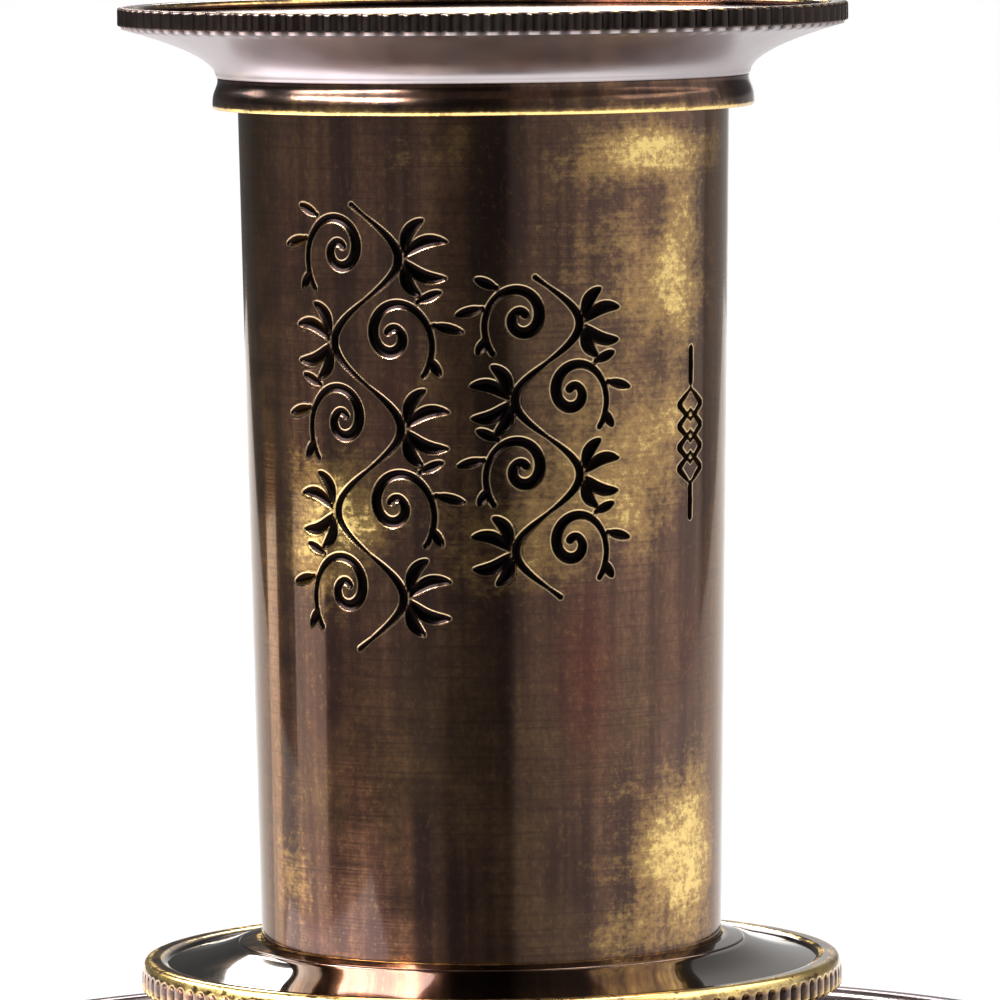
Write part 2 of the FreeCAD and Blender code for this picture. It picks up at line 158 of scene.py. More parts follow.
def turned(name, path, steps=240, flute=None, wear=None, polish=0.0, haze=0.0, darkening=0.0):
    # closed section revolved about Z. With a flute, the surface is cut inwards by half-round flutes with rounded
    # ends, between the heights low and high and where the section is within 0.9 mm of the flute's radius
    if flute is None:
        angles = np.linspace(0, 2 * math.pi, steps, endpoint=False)
        radius = np.repeat(path[:, :1], steps, 1)
        cut = np.zeros_like(radius)
    else:
        angles, deep = fluteAngles(flute["teeth"], flute["ridge"])
        height, reach = path[:, 1], path[:, 0]
        middle, half = (flute["low"] + flute["high"]) / 2, (flute["high"] - flute["low"]) / 2
        share = np.clip(1 - ((height - middle) / half) ** 2, 0, 1) ** 0.3
        share = share * (reach > flute["radius"] - 0.9)
        cut = share[:, None] * deep[None]
        radius = path[:, :1] - cut * flute["depth"]
    x, y = radius * np.cos(angles), radius * np.sin(angles)
    z = np.repeat(path[:, 1:2], len(angles), 1)
    points = np.stack([x, y, z], -1).reshape(-1, 3)
    rub = curvatureWear(path) if wear is None else wear

    def around(values):  # one value for each point of the section, repeated round the turn
        return np.repeat((values + np.zeros(len(path)))[:, None], len(angles), 1).ravel()

    # the colour is mixed towards near-black by the flute depth, darkest at the bottom of each flute, or by the
    # darkening passed in where that is more
    attributes = {"wear": around(rub) * (1 - cut.ravel()), "darkening": np.maximum(cut.ravel(), around(darkening)),
                  "polish": around(polish), "haze": around(haze)}
    return makeMesh(name, points, gridFaces(len(path), len(angles), True), attributes)


def discPiece(name, path, steps=160):
    # open section from the axis out and back to the axis, closed by a fan at each pole
    angles = np.linspace(0, 2 * math.pi, steps, endpoint=False)
    x, y = path[:, :1] * np.cos(angles), path[:, :1] * np.sin(angles)
    z = np.repeat(path[:, 1:2], steps, 1)
    points = np.stack([x, y, z], -1).reshape(-1, 3)
    count = len(points)
    poles = np.array([[0, 0, path[0, 1]], [0, 0, path[-1, 1]]])
    first, last = np.arange(steps), count - steps + np.arange(steps)
    fans = [(count, first[::-1]), (count + 1, last)]
    return makeMesh(name, np.vstack([points, poles]), gridFaces(len(path), steps, False), {}, fans)


def bumpNormal(tree, shader, height, strength, depth):  # depth in mm
    bump = node(tree, "ShaderNodeBump")
    bump.inputs["Strength"].default_value = strength
    bump.inputs["Distance"].default_value = depth * mm
    tree.links.new(height, bump.inputs["Height"])
    tree.links.new(bump.outputs["Normal"], shader.inputs["Normal"])


def newMaterial(name):
    material = bpy.data.materials.new(name)
    material.use_nodes = True
    tree = material.node_tree
    return material, tree, tree.nodes["Principled BSDF"]


def node(tree, kind, **values):
    made = tree.nodes.new(kind)
    for key, value in values.items():
        setattr(made, key, value)
    return made


def math2(tree, operation, first, second=None, third=None, clamp=False):
    made = node(tree, "ShaderNodeMath", operation=operation, use_clamp=clamp)
    for index, value in enumerate((first, second, third)):
        if value is None:
            continue
        if isinstance(value, (int, float)):
            made.inputs[index].default_value = value
        else:
            tree.links.new(value, made.inputs[index])
    return made.outputs[0]


def mixColour(tree, share, first, second, blend="MIX"):
    made = node(tree, "ShaderNodeMix", data_type="RGBA", blend_type=blend)
    for socket, value in ((made.inputs["Factor"], share), (made.inputs[6], first), (made.inputs[7], second)):
        if isinstance(value, (int, float)):
            socket.default_value = value
        elif isinstance(value, tuple):
            socket.default_value = (*value, 1)
        else:
            tree.links.new(value, socket)
    return made.outputs[2]


def stretchedNoise(tree, vector, scale, detail=3.0, roughness=0.55):
    mapping = node(tree, "ShaderNodeMapping")
    mapping.inputs["Scale"].default_value = scale
    tree.links.new(vector, mapping.inputs["Vector"])
    noise = node(tree, "ShaderNodeTexNoise")
    noise.inputs["Scale"].default_value = 1.0
    noise.inputs["Detail"].default_value = detail
    noise.inputs["Roughness"].default_value = roughness
    tree.links.new(mapping.outputs["Vector"], noise.inputs["Vector"])
    return noise.outputs["Fac"]


def remap(tree, value, low, high, toLow=0.0, toHigh=1.0):
    made = node(tree, "ShaderNodeMapRange", interpolation_type="SMOOTHSTEP")
    tree.links.new(value, made.inputs["Value"])
    for key, number in (("From Min", low), ("From Max", high), ("To Min", toLow), ("To Max", toHigh)):
        made.inputs[key].default_value = number
    return made.outputs["Result"]


patinaSettings = {
    "deep": (0.056, 0.026, 0.019),
    "brown": (0.185, 0.091, 0.052),
    "olive": (0.21, 0.122, 0.052),
    "red": (0.14, 0.035, 0.022),
    "lacquer": (0.055, 0.045, 0.045),
    "haze": (0.44, 0.40, 0.415),
    "bronze": (0.48, 0.29, 0.100),
    "brass": (0.92, 0.66, 0.23),
    # near-black for darkened places: flute bottoms and the eyepiece rim's milled face
    "darkening": (0.012, 0.008, 0.006),
    # pale brass ring round each engraved stroke: the burr's bare metal with a painted edge highlight
    "burrEdgeHighlight": (0.80, 0.62, 0.34),
    "wax": (0.003, 0.002, 0.002),
}


def makePatinaGroup():
    # Aged brass: brown patina with streaks and blotches, rubbed through to bright brass in grains where Wear is high,
    # smooth dark lacquer where Polish is high, a pale hazy one where Haze is, near-black by the darkening input and a
    # red tinge where Blush is. Gives Colour, Roughness and Height.
    tree = bpy.data.node_groups.new("AgedBrassPatina", "ShaderNodeTree")
    face = tree.interface
    face.new_socket(name="Vector", in_out="INPUT", socket_type="NodeSocketVector")
    for name in ("Wear", "Darkening", "Blush", "Polish", "Haze", "Base Wear"):
        face.new_socket(name=name, in_out="INPUT", socket_type="NodeSocketFloat").default_value = 0.0
    for name, kind in (("Colour", "Color"), ("Roughness", "Float"), ("Height", "Float")):
        face.new_socket(name=name, in_out="OUTPUT", socket_type=f"NodeSocket{kind}")
    given, outside = node(tree, "NodeGroupInput").outputs, node(tree, "NodeGroupOutput")
    vector = given["Vector"]
    brushed = stretchedNoise(tree, vector, (70, 70, 4200), 3.0, 0.6)
    streaks = stretchedNoise(tree, vector, (420, 420, 14), 3.0, 0.55)
    blotch = stretchedNoise(tree, vector, (190, 190, 230), 5.0, 0.62)
    tint = stretchedNoise(tree, vector, (70, 70, 45), 4.0, 0.6)
    speckle = stretchedNoise(tree, vector, (1500, 1500, 1900), 4.0, 0.7)
    pits = stretchedNoise(tree, vector, (700, 700, 800), 3.0, 0.6)
    flecks = stretchedNoise(tree, vector, (2300, 2300, 1500), 3.0, 0.75)
    # how far the patina is rubbed away: wear broken up by grain, blotches and a little brushing
    grain = math2(tree, "MULTIPLY", speckle, 0.80)
    for part, share in ((brushed, 0.22), (streaks, 0.30), (blotch, 0.80)):
        grain = math2(tree, "MULTIPLY_ADD", part, share, grain)
    rub = math2(tree, "ADD", given["Wear"], given["Base Wear"])
    level = math2(tree, "ADD", grain, rub)
    pitted = remap(tree, pits, 0.62, 0.54, 0.25, 1.0)
    worn = math2(tree, "MULTIPLY", remap(tree, level, 1.58, 1.86), pitted)
    thinned = remap(tree, level, 1.24, 1.70)
    # the patina's own colours
    s = patinaSettings
    dark = mixColour(tree, remap(tree, streaks, 0.34, 0.68), s["deep"], s["brown"])
    redness = remap(tree, tint, 0.42, 0.30, 0.0, 0.3)
    for share, colour in (
            (remap(tree, tint, 0.48, 0.66, 0.0, 0.5), "olive"),
            (math2(tree, "ADD", given["Blush"], redness, clamp=True), "red"),
            (remap(tree, blotch, 0.56, 0.36, 0.0, 0.35), "deep"),
            (remap(tree, flecks, 0.52, 0.40, 0.0, 0.35), "deep"),
            (remap(tree, flecks, 0.56, 0.68, 0.0, 0.15), "bronze"),
            (remap(tree, brushed, 0.50, 0.36, 0.0, 0.40), "deep"),
            (given["Polish"], "lacquer"), (given["Haze"], "haze"),
            (math2(tree, "MULTIPLY", thinned, 0.75), "bronze"), (worn, "brass"),
            # near-black by the darkening input: deepest in the flutes, and on the eyepiece rim's milled face
            (math2(tree, "MULTIPLY", given["Darkening"], 0.9), "darkening")):
        dark = mixColour(tree, share, dark, s[colour])
    rough = remap(tree, worn, 0.0, 1.0, 0.13, 0.25)
    rough = math2(tree, "ADD", rough, remap(tree, blotch, 0.3, 0.7, -0.03, 0.06))
    for key, share in (("Haze", 0.25), ("Darkening", 0.3), ("Polish", -0.08)):
        rough = math2(tree, "MULTIPLY_ADD", given[key], share, rough, clamp=True)
    height = math2(tree, "MULTIPLY_ADD", speckle, 0.12, brushed)
    for key, value in (("Colour", dark), ("Roughness", rough), ("Height", height)):
        tree.links.new(value, outside.inputs[key])
    return tree


patinaGroup = makePatinaGroup()


def agedBrass(name, baseWear, relief, engraved=False, coat=0.18, coatRoughness=0.05, grazing=(0.64, 0.55, 0.47)):
    # the patina group on the piece's own wear and darkening, with blush on the engraved piece or polish and haze on
    # the others, under a thin clear lacquer
    material, tree, shader = newMaterial(name)
    place = node(tree, "ShaderNodeTexCoord")
    patina = node(tree, "ShaderNodeGroup", node_tree=patinaGroup)
    tree.links.new(place.outputs["Object"], patina.inputs["Vector"])
    patina.inputs["Base Wear"].default_value = baseWear
    kept = {"wear": "Wear", "darkening": "Darkening"}
    kept.update({"blush": "Blush"} if engraved else {"polish": "Polish", "haze": "Haze"})
    for key, socket in kept.items():
        attribute = node(tree, "ShaderNodeAttribute", attribute_name=key)
        tree.links.new(attribute.outputs["Fac"], patina.inputs[socket])
    colour, rough = patina.outputs["Colour"], patina.outputs["Roughness"]
    if engraved:
        away = node(tree, "ShaderNodeAttribute", attribute_name="engraving").outputs["Fac"]
        wax = remap(tree, away, 0.05, -0.04)
        # a pale ring just outside each stroke, over the raised burr: bare burr metal and a painted edge highlight
        burrEdgeHighlight = math2(tree, "MULTIPLY", remap(tree, away, 0.02, 0.06), remap(tree, away, 0.15, 0.08))
        colour = mixColour(tree, math2(tree, "MULTIPLY", burrEdgeHighlight, 0.6), colour, patinaSettings["burrEdgeHighlight"])
        colour = mixColour(tree, wax, colour, patinaSettings["wax"])
        rough = math2(tree, "MULTIPLY_ADD", wax, 0.12, rough)
        hollow = wax
    else:
        hollow = patina.inputs["Darkening"].links[0].from_socket
    tree.links.new(math2(tree, "MULTIPLY_ADD", hollow, -coat, coat), shader.inputs["Coat Weight"])
    bumpNormal(tree, shader, patina.outputs["Height"], 0.35, relief)
    tree.links.new(colour, shader.inputs["Base Color"])
    tree.links.new(rough, shader.inputs["Roughness"])
    shader.inputs["Metallic"].default_value = 1.0
    shader.inputs["Specular Tint"].default_value = (*grazing, 1)
    shader.inputs["Coat Roughness"].default_value = coatRoughness
    return material


def plainMetal(name, colour, tone, roughness, brushing=(90, 90, 4200)):
    # turned metal without patina: two close tones and fine tool lines
    material, tree, shader = newMaterial(name)
    place = node(tree, "ShaderNodeTexCoord").outputs["Object"]
    lines = stretchedNoise(tree, place, brushing, 3.0, 0.6)
    cloud = stretchedNoise(tree, place, (120, 120, 120), 4.0, 0.6)
    mixed = mixColour(tree, remap(tree, cloud, 0.35, 0.7), colour, tone)
    tree.links.new(mixed, shader.inputs["Base Color"])
    tree.links.new(remap(tree, lines, 0.3, 0.7, roughness - 0.05, roughness + 0.1), shader.inputs["Roughness"])
    bumpNormal(tree, shader, lines, 0.3, 0.01)
    shader.inputs["Metallic"].default_value = 1.0
    return material


def glassy(name, colour, roughness, ground=0.0, relief=0.01):
    # glass with a faint cloud in its tint, small ripples and, where it is ground, a frosted grain
    material, tree, shader = newMaterial(name)
    place = node(tree, "ShaderNodeTexCoord").outputs["Object"]
    cloud = stretchedNoise(tree, place, (160, 160, 160), 2.0)
    grain = stretchedNoise(tree, place, (2600, 2600, 2600), 2.0, 0.7)
    paler = tuple(min(1.0, value * 1.15 + 0.03) for value in colour)
    tinted = mixColour(tree, remap(tree, cloud, 0.35, 0.65), colour, paler)
    rough = remap(tree, grain, 0.3, 0.7, max(0.0, roughness - 0.05), roughness + 0.06)
    tree.links.new(tinted, shader.inputs["Base Color"])
    tree.links.new(rough, shader.inputs["Roughness"])
    bumpNormal(tree, shader, grain if ground else cloud, 0.2 + ground, relief)
    shader.inputs["Transmission Weight"].default_value = 1.0
    shader.inputs["IOR"].default_value = 1.52
    return material


def fibrous(name, colour, tone, scale, sheen=0.4):
    # felt, card or fibre: matted strands with a soft sheen
    material, tree, shader = newMaterial(name)
    place = node(tree, "ShaderNodeTexCoord").outputs["Object"]
    strands = stretchedNoise(tree, place, (scale, scale * 0.4, scale * 1.4), 5.0, 0.7)
    cross = stretchedNoise(tree, place, (scale * 0.4, scale, scale), 4.0, 0.7)
    matted = math2(tree, "MULTIPLY", math2(tree, "ADD", strands, cross), 0.5)
    mixed = mixColour(tree, remap(tree, matted, 0.35, 0.65), colour, tone)
    tree.links.new(mixed, shader.inputs["Base Color"])
    tree.links.new(remap(tree, strands, 0.3, 0.7, 0.8, 0.95), shader.inputs["Roughness"])
    bumpNormal(tree, shader, matted, 0.5, 0.15)
    shader.inputs["Sheen Weight"].default_value = sheen
    return material


def dress(piece, material):
    piece.data.materials.clear()
    piece.data.materials.append(material)


def fit(piece, material, body, nodeName):
    # gives a finished piece its material and its body, and hides the CAD node that it stands for
    dress(piece, material)
    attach(piece, body)
    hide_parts(nodeName)
    return piece


eyepieceSettings = {
    "bore": 15.0,
    "spigotInset": 1.25,
    "spigotHeight": 6.5,
    "skirtHeight": 3.0,
    "neck": 22.06,
    "bead": 22.5,
    "teeth": 112,
    "ridge": 0.40,
    "fluteDepth": 0.42,
    "rimHeight": 1.6,
    "bowlFloor": 100.8,
    "bowlRadius": 13.0,
    "floorThickness": 1.2,
    "sight": 5.5,
    "flareHaze": 0.85,
    "bowlHaze": 0.7,
    "rimPolish": 0.85,
    "edgeWear": 0.38,
    "rimTarnish": 0.70,
    "rimDarkening": 0.65,
    "neckWear": 0.16,
}


def trumpet(innerRadius, innerHeight, outerRadius, outerHeight, count):
    # flare that leaves the neck steeply and runs out flat: radius grows as t squared, height as t to the 1.08
    t = np.linspace(0, 1, count)
    return np.stack([innerRadius + (outerRadius - innerRadius) * t ** 2,
                     innerHeight + (outerHeight - innerHeight) * t ** 1.08], -1)


def makeEyepiece():
    s = eyepieceSettings
    bore, tubeFit = s["bore"], tubeRadius + runningGap
    spigot = tubeRadius - s["spigotInset"]
    shoulder = spigotBase + s["spigotHeight"]
    skirtFoot = shoulder - s["skirtHeight"]
    floorFoot = s["bowlFloor"] - s["floorThickness"]
    rimFoot = objectTop - s["rimHeight"]
    lower = roundedPath([
        (bore, spigotBase, 0.2), (spigot, spigotBase, 0.3), (spigot, shoulder, 0), (tubeFit, shoulder, 0),
        (tubeFit, skirtFoot, 0.1), (s["bead"] - 0.1, skirtFoot, 0.1), (s["bead"], skirtFoot + 0.3, 0.12),
        (s["bead"] - 0.04, skirtFoot + 1.15, 0.45), (s["neck"], skirtFoot + 2.1, 0.45),
        (s["neck"], skirtFoot + 2.6, 0.1)], 4)
    flare = trumpet(s["neck"] + 0.12, skirtFoot + 2.75, rimRadius - 0.35, rimFoot - 0.2, 20)
    upper = roundedPath([
        (rimRadius, rimFoot, 0.22), (rimRadius, objectTop, 0.28), (rimRadius - 1.35, objectTop, 0.25),
        (rimRadius - 1.75, objectTop - 0.45, 0.3)], 4)
    t = np.linspace(0, 1, 9)[1:, None]
    bowlStart, bowlEnd = np.array([rimRadius - 2.0, objectTop - 0.62]), np.array([s["bowlRadius"], s["bowlFloor"]])
    bowl = bowlStart + (bowlEnd - bowlStart) * t
    bowl[:, 1] -= 0.55 * np.sin(math.pi * t[:, 0])
    sight = roundedPath([(s["sight"], s["bowlFloor"], 0.35), (s["sight"], floorFoot, 0.1), (bore, floorFoot, 0)])
    path = np.vstack([lower, flare, upper, bowl, sight])
    wear = curvatureWear(path, gain=s["edgeWear"])
    wear[:len(lower)] += s["neckWear"]
    wear[(path[:, 0] > rimRadius - 0.4) & (path[:, 1] < objectTop - 0.1)] -= s["rimTarnish"]  # in the milling
    polish = np.zeros(len(path))
    haze = np.zeros(len(path))
    haze[len(lower):len(lower) + len(flare)] = s["flareHaze"]
    haze[-len(bowl) - len(sight):] = s["bowlHaze"]
    face = path[:, 0] > rimRadius - 0.05
    polish[face] = s["rimPolish"]
    flute = {"teeth": s["teeth"], "ridge": s["ridge"], "depth": s["fluteDepth"],
             "low": rimFoot - 0.5, "high": objectTop + 0.1, "radius": rimRadius}
    # the rim's milled face is mixed towards near-black all round, as well as in its flutes
    return turned("flared_eyepiece", path, flute=flute, wear=wear, polish=polish, haze=haze,
                  darkening=face * s["rimDarkening"])


eyepieceBrass = agedBrass("eyepieceBrass", -0.12, 0.012, coat=0.5, coatRoughness=0.2, grazing=(0.58, 0.53, 0.53))
fit(makeEyepiece(), eyepieceBrass, "eyepiece", "eyepiece_flange")
print("eyepiece made")


tubeSettings = {
    "wall": 1.2,
    "taperStart": 26.0,
    "taperEnd": 95.5,
    "fineStep": 0.165,
    "boreEnd": 91.5,
    "farthest": 0.6,
    "grooveDepth": 0.2,
    "grooveSlope": 0.26,
    "burr": (0.018, 0.07, 0.06),
    "strokeWidth": 0.40,
    # bearing in degrees from the front, lowest and highest point, bends, side of the first bend, reach
    "scrolls": ((-29.0, 52.8, 87.4, 5, 1, 6.0), (14.5, 57.0, 81.6, 4, -1, 5.4)),
    "sideMark": (57.0, 62.1, 75.9),
}

# (bearing in degrees from the front, height, half width in degrees, half height, strength)
rubbedPlaces = {
    "under the neck": ((46, 92.2, 28, 2.4, 0.60), (-8, 93.0, 16, 2.0, 0.20), (-20, 91.6, 4, 2.2, 0.22)),
    "right side, upper": ((53, 81.0, 11, 6.5, 0.46), (36, 82.0, 26, 13.0, 0.27), (56, 88.0, 8, 2.0, 0.20)),
    "right side, middle": ((40, 65.5, 18, 6.5, 0.40), (14, 63.0, 20, 7.5, 0.40), (56, 70.0, 9, 2.4, 0.25)),
    "left side": ((-44, 61.5, 14, 7.5, 0.58), (-28, 63.5, 12, 4.5, 0.38), (-16, 79.5, 7, 9.0, 0.22),
                  (-8, 60.0, 10, 8.0, 0.18)),
    "right side, lower": ((57, 35.5, 15, 8.0, 0.64), (36, 35.0, 16, 7.0, 0.28), (34, 27.8, 14, 2.0, 0.35),
                          (62, 28.0, 12, 7.0, 0.25)),
    "left side, lower": ((-58, 33.0, 8, 10.0, 0.35), (-40, 37.0, 7, 7.0, 0.15)),
    "back": ((150, 80.0, 34, 12.0, 0.45), (205, 55.0, 30, 14.0, 0.5), (115, 45.0, 22, 11.0, 0.42),
             (-110, 78.0, 20, 10.0, 0.4), (-140, 38.0, 26, 9.0, 0.45)),
}
blushedPlaces = ((24, 49.5, 7, 7.0, 0.75), (-58, 84.0, 12, 8.0, 0.35), (-35, 45.0, 10, 10.0, 0.25),
                 (-20, 72.0, 8, 4.0, 0.3), (60, 52.0, 12, 7.0, 0.3))


def softSpots(places, bearing, height):
    # sum of soft spots, each falling off like exp(-d^2.4) in bearing and height
    total = np.zeros(np.broadcast(bearing, height).shape)
    for centre, level, halfAngle, halfHeight, strength in places:
        offset = (bearing - centre + 180) % 360 - 180
        total += strength * np.exp(-((offset / halfAngle) ** 2 + ((height - level) / halfHeight) ** 2) ** 1.2)
    return total


def stroke(across, up, width, taper=(0.2, 0.2)):
    # one cut of the engraver: a line of points with a half width that swells between its thin ends
    t = np.linspace(0, 1, len(across))
    swell = np.sin(math.pi * np.clip(t, 0.001, 0.999)) ** 0.6
    ends = taper[0] * (1 - t) + taper[1] * t
    return np.stack([across, up, width * np.maximum(swell, ends)], -1)


def scrollwork(low, high, bends, side, reach, width):
    # running scroll: a waving stem, a spiral that leaves it in each bend, and a spray of leaves outside the bend
    half = (high - low) / bends
    t = np.linspace(0, 1, 70)
    up = np.linspace(low - 0.12 * half, high + 0.12 * half, 60 * bends)
    wave = np.sin(math.pi * (up - low) / half)
    stem = np.stack([side * reach * 0.5 * wave, up, width * (0.35 + 0.5 * np.abs(wave))], -1)
    strokes = [stem]
    for i in range(bends):
        turn = side * (-1) ** i
        middle = low + (i + 0.5) * half
        centre = -turn * 0.40 * reach, middle + 0.08 * half
        along = np.linspace(0, 1, 240)
        spin = np.radians(-48 + 545 * along)  # a logarithmic spiral that starts on the bend below
        radius = 0.62 * half * 0.13 ** along
        strokes.append(stroke(centre[0] - turn * 0.9 * radius * np.cos(spin), centre[1] + radius * np.sin(spin),
                              width * 1.15, (0.5, 0.75)))
        for lean, size in ((-62, 0.40), (-22, 0.52), (18, 0.52), (58, 0.44)):
            a = math.radians(lean)
            root = turn * reach * (0.56 + 0.05 * math.cos(a)), middle + 0.10 * half * math.sin(a)
            length = half * size
            bow = 0.16 * length * np.sin(math.pi * t) * (1 if lean > 0 else -1)
            strokes.append(stroke(root[0] + turn * (math.cos(a) * length * t - math.sin(a) * bow),
                                  root[1] + math.sin(a) * length * t + math.cos(a) * bow,
                                  width * 1.3, (0.25, 0.06)))
        for lean, size in ((128, 0.30), (165, 0.36), (-150, 0.24)):
            a = math.radians(lean)
            root = centre[0] + turn * 0.52 * half * math.cos(a), centre[1] + 0.52 * half * math.sin(a)
            strokes.append(stroke(root[0] + turn * math.cos(a + 0.5) * half * size * t,
                                  root[1] + math.sin(a + 0.5) * half * size * t, width, (0.5, 0.06)))
    return strokes


def sideMark(low, high, width):
    # a short rule at each end with a chain of small lozenges between them
    strokes = []
    t = np.linspace(0, 1, 24)
    for start, end in ((low, low + 2.5), (high - 2.7, high)):
        strokes.append(stroke(0 * t, start + (end - start) * t, width * 0.85, (0.9, 0.9)))
    for i in range(4):
        centre = low + 4.0 + i * 1.75
        for sign in (-1, 1):
            strokes.append(stroke(sign * 1.7 * (1 - 2 * np.abs(t - 0.5)), centre + 1.3 * (t - 0.5) * 2,
                                  width * 0.7, (0.5, 0.5)))
    return strokes


def engravingStrokes():
    # every stroke as (arc length from the front, height, half width), in mm
    s = tubeSettings
    width = s["strokeWidth"]
    radius = (tubeRadius + footRadius) / 2
    columns = [(bearing, scrollwork(*shape, width)) for bearing, *shape in s["scrolls"]]
    columns.append((s["sideMark"][0], sideMark(*s["sideMark"][1:], width)))
    placed = []
    for bearing, strokes in columns:
        for line in strokes:
            line = line.copy()
            line[:, 0] += math.radians(bearing) * radius
            placed.append(line)
    return placed, radius


def engravingDistance(across, up, strokes):
    # distance in mm from each grid point to the nearest stroke's edge, negative inside
    distance = np.full(across.shape, tubeSettings["farthest"])
    for line in strokes:
        near = ((across > line[:, 0].min() - 1.1) & (across < line[:, 0].max() + 1.1)
                & (up > line[:, 1].min() - 1.1) & (up < line[:, 1].max() + 1.1))
        if not near.any():
            continue
        a, u = across[near][:, None], up[near][:, None]
        gap = np.hypot(a - line[None, :, 0], u - line[None, :, 1]) - line[None, :, 2]
        distance[near] = np.minimum(distance[near], gap.min(1))
    return distance


def makeTube():
    s = tubeSettings
    strokes, radius = engravingStrokes()
    points = np.vstack(strokes)
    fineAngle = math.degrees(s["fineStep"] / radius)
    lowAcross = np.degrees(points[:, 0].min() / radius) - 1.5
    highAcross = np.degrees(points[:, 0].max() / radius) + 1.5
    fine = np.arange(lowAcross, highAcross, fineAngle)
    rest = np.linspace(highAcross, lowAcross + 360, 76)[:-1]
    bearing = np.concatenate([fine, rest])  # degrees from the front, growing to the right
    lowUp, highUp = points[:, 1].min() - 0.7, points[:, 1].max() + 0.7
    up = np.concatenate([np.linspace(s["taperStart"] - 3, lowUp, 14)[:-1], np.arange(lowUp, highUp, s["fineStep"]),
                         np.linspace(highUp, s["taperEnd"], 7)])
    share = np.clip((up - s["taperStart"]) / (s["taperEnd"] - s["taperStart"]), 0, 1)
    outer = np.stack([footRadius + (tubeRadius - footRadius) * share, up], -1)
    lower = roundedPath([
        (footRadius - s["wall"], s["taperStart"], 0), (footRadius - s["wall"], tubeBase, 0.2),
        (footRadius, tubeBase, 0.2), (footRadius, s["taperStart"], 0)])[:-1]
    top = roundedPath([
        (tubeRadius, s["taperEnd"], 0), (tubeRadius, tubeTop, 0.15), (tubeRadius - s["wall"], tubeTop, 0.15),
        (tubeRadius - s["wall"], s["boreEnd"], 0)])[1:]
    path = np.vstack([lower, outer, top])
    outerRows = slice(len(lower), len(lower) + len(outer))
    angle = np.radians(bearing - 90)
    reach = np.repeat(path[:, :1], len(bearing), 1)
    height = np.repeat(path[:, 1:2], len(bearing), 1)
    across = np.repeat(np.radians(bearing)[None] * radius, len(path), 0)
    distance = np.full(reach.shape, s["farthest"])
    distance[outerRows] = engravingDistance(across[outerRows], height[outerRows], strokes)
    cut = np.clip(-distance / s["grooveSlope"], 0, 1) ** 0.75
    burrHeight, burrOffset, burrWidth = s["burr"]
    burr = np.exp(-((distance - burrOffset) / burrWidth) ** 2)
    reach = reach - s["grooveDepth"] * cut + burrHeight * burr
    rubbed = [spot for place in rubbedPlaces.values() for spot in place]
    wear = softSpots(rubbed, bearing[None], path[:, 1:2])
    blush = softSpots(blushedPlaces, bearing[None], path[:, 1:2])
    points = np.stack([reach * np.cos(angle), reach * np.sin(angle), height], -1).reshape(-1, 3)
    quads = gridFaces(len(path), len(bearing), True)
    attributes = {"wear": wear.ravel(), "blush": blush.ravel(), "darkening": 0 * wear.ravel(),
                  "engraving": distance.ravel()}
    return makeMesh("engraved_tube", points, quads, attributes)


tube = makeTube()
fit(tube, agedBrass("tubeBrass", 0.0, 0.013, engraved=True, coat=0.5), "tube", "body_tube")
print("tube made,", len(tube.data.polygons), "faces")


collarSettings = {"teeth": 112, "ridge": 0.50, "fluteDepth": 0.46, "bandTop": 1.5, "nutDepth": 2.4, "edgeWear": 0.35}


def makeCollar():
    s = collarSettings
    bore, nut = footRadius + runningGap, hubRadius + runningGap
    bandHigh = collarBase + s["bandTop"]
    t = np.linspace(0, 1, 16)[:, None]
    dishOut = np.array([collarRadius - 2.15, collarBase + 2.22])
    dishIn = np.array([footRadius + 2.05, collarBase + 3.86])
    dish = dishOut + (dishIn - dishOut) * t
    dish[:, 1] -= 0.16 * np.sin(math.pi * t[:, 0])
    outer = roundedPath([
        (nut, collarBase, 0.15), (collarRadius, collarBase, 0.3), (collarRadius, bandHigh + 0.35, 0.5),
        (collarRadius - 0.35, collarBase + 2.62, 0.8), (collarRadius - 1.75, collarBase + 2.55, 0.35)])
    lip = roundedPath([
        (footRadius + 1.85, collarBase + 3.98, 0.12), (footRadius + 0.62, collarBase + 4.22, 0.14),
        (bore, collarBase + 4.2, 0.08), (bore, collarBase + s["nutDepth"], 0), (nut, collarBase + s["nutDepth"], 0)])
    path = np.vstack([outer, dish, lip])
    polish = np.zeros(len(path))
    polish[len(outer) - 2:len(outer) + len(dish)] = 1.0
    flute = {"teeth": s["teeth"], "ridge": s["ridge"], "depth": s["fluteDepth"],
             "low": collarBase - 0.1, "high": bandHigh + 0.1, "radius": collarRadius}
    wear = curvatureWear(path)
    wear[(path[:, 0] > collarRadius - 2.0) & (path[:, 1] > bandHigh + 0.05)] += s["edgeWear"]
    return turned("dished_collar", path, flute=flute, wear=wear, polish=polish)


fit(makeCollar(), agedBrass("collarBrass", 0.0, 0.004, coat=1.0), "tube", "milled_collar")
print("collar made")


caseSettings = {
    "teeth": 208,
    "ridge": 0.42,
    "fluteDepth": 0.45,
    "footHeight": 2.4,
    "millingFoot": 7.1,
    "grooveDepth": 0.6,
    "glassGap": 6.0,
    "ledge": (3.0, 1.4),
    "neckRadius": 25.2,
    "flareCentre": 35.0,
    "flareBend": 10.0,
    "flareSweep": 158.9,
    "flatDrop": 1.05,
    "coverPolish": 0.3,
    "coverHaze": 0.35,
}


